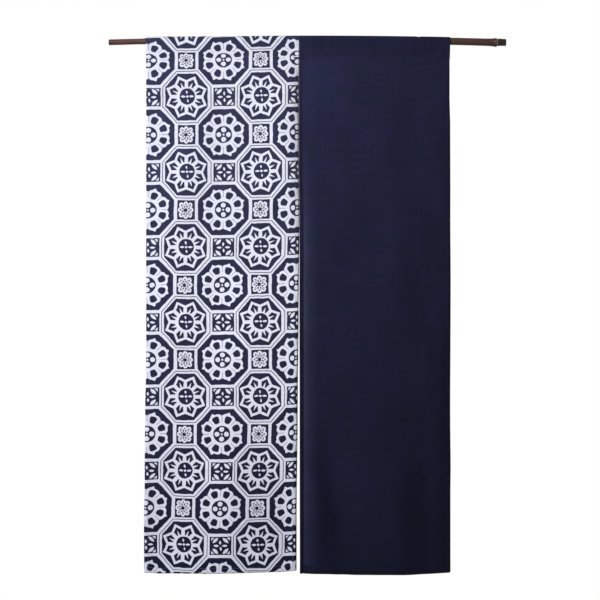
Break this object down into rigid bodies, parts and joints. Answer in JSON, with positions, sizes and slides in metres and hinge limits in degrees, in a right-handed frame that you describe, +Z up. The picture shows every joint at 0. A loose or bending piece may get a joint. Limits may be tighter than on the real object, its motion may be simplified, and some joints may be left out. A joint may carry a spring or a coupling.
{
  "type": "noren curtain with bamboo rod",
  "caption": "Split doorway curtain: a printed and a plain navy cotton panel sewn side by side at the top, open below, with a pocket over a bamboo rod.",
  "frame": {"origin": "on the rod's axis above the top of the slit between the two panels", "axes": "+Z up, +X along the rod to its thick end, -Y out of the curtain's front"},
  "size_m": [1.1121, 0.0402, 1.5134],
  "materials": {
    "printed_cotton": "white slubby cotton printed with a navy octagon and square lattice filled with flowers",
    "navy_cotton": "plain dyed slubby cotton, matte",
    "smoked_bamboo": "dark smoked bamboo with lengthwise fibres, satin"
  },
  "bodies": {
    "root": {"printed_panel": "printed_cotton", "plain_panel": "navy_cotton", "rod": "smoked_bamboo"}
  },
  "joints": []
}
